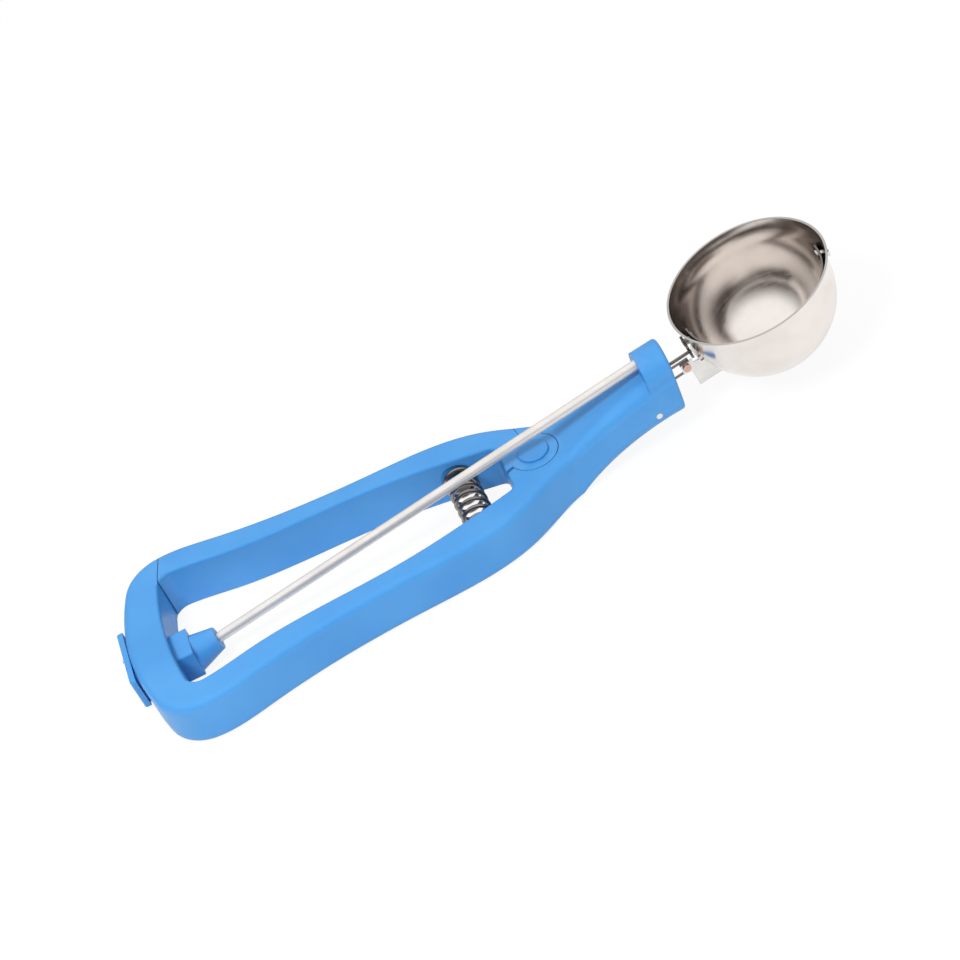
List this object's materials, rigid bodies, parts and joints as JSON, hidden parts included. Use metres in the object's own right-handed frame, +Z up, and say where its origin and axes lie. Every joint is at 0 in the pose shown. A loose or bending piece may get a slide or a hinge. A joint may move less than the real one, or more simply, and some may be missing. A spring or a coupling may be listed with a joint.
{
  "type": "lever ice cream scoop",
  "caption": "Squeeze-handle ice cream scoop: pressing the sprung lever sweeps a thin blade round the steel bowl to release the ball.",
  "frame": {"origin": "on the lever's pivot axis, in the flat underside of the handle", "axes": "+X towards the bowl, +Y towards the squeeze lever, +Z up out of the flat underside"},
  "size_m": [0.2291, 0.067, 0.0404],
  "materials": {
    "handle_plastic": "satin moulded",
    "bowl_steel": "spun and brushed",
    "bright_steel": "polished",
    "gear_steel": "satin",
    "spring_wire": "drawn wire",
    "rivet_copper": "coppery, satin",
    "bush_nylon": "plain"
  },
  "bodies": {
    "handle": {"handle_body": "handle_plastic", "neck_cover": "handle_plastic", "pivot_pin": "bright_steel", "pivot_cap": "handle_plastic", "idler_stud": "gear_steel", "rear_bush": "bush_nylon", "front_bush": "bush_nylon", "bowl": "bowl_steel", "far_rivet": "bright_steel", "bowl_tang": "bright_steel", "bowl_bracket": "bright_steel", "bracket_rivet": "rivet_copper", "frame_pin": "bright_steel", "tie_rod": "bright_steel", "tail_plug": "handle_plastic", "plug_pin": "bright_steel", "return_spring": "spring_wire", "body_spring_stud": "gear_steel"},
    "lever": {"squeeze_lever": "handle_plastic", "rack_arm": "gear_steel", "rack_rivets": "gear_steel", "lever_spring_stud": "gear_steel"},
    "idler": {"idler_gear": "gear_steel"},
    "drive": {"drive_shaft": "bright_steel", "drive_pinion": "gear_steel", "front_gear": "gear_steel"},
    "blade": {"ejector_blade": "bright_steel", "blade_axle": "bright_steel", "blade_gear": "gear_steel"}
  },
  "joints": [
    {"name": "lever_squeeze", "type": "hinge", "parent": "handle", "child": "lever", "pos_m": [0, 0, 0.0075], "axis": [0, 0, 1], "range_deg": [0, 6.5], "stiffness_Nm_per_rad": 3, "springref_deg": -5.73, "deforming": ["return_spring"]},
    {"name": "idler_spin", "type": "hinge", "parent": "handle", "child": "idler", "pos_m": [0.03933, 0, 0.01767], "axis": [0.9877, 0, 0.1564], "range_deg": [0, 184]},
    {"name": "shaft_spin", "type": "hinge", "parent": "handle", "child": "drive", "pos_m": [0.04527, 0, 0.02162], "axis": [0.9877, 0, 0.1564], "range_deg": [-163.5, 0]},
    {"name": "blade_sweep", "type": "hinge", "parent": "handle", "child": "blade", "pos_m": [0.07431, 0, 0.03002], "axis": [0.9877, 0, 0.1564], "range_deg": [0, 163.5]}
  ],
  "couplings": [
    {"joint": "idler_spin", "follows": "lever_squeeze", "ratio": 28.25},
    {"joint": "shaft_spin", "follows": "lever_squeeze", "ratio": -25.111},
    {"joint": "blade_sweep", "follows": "lever_squeeze", "ratio": 25.111}
  ]
}
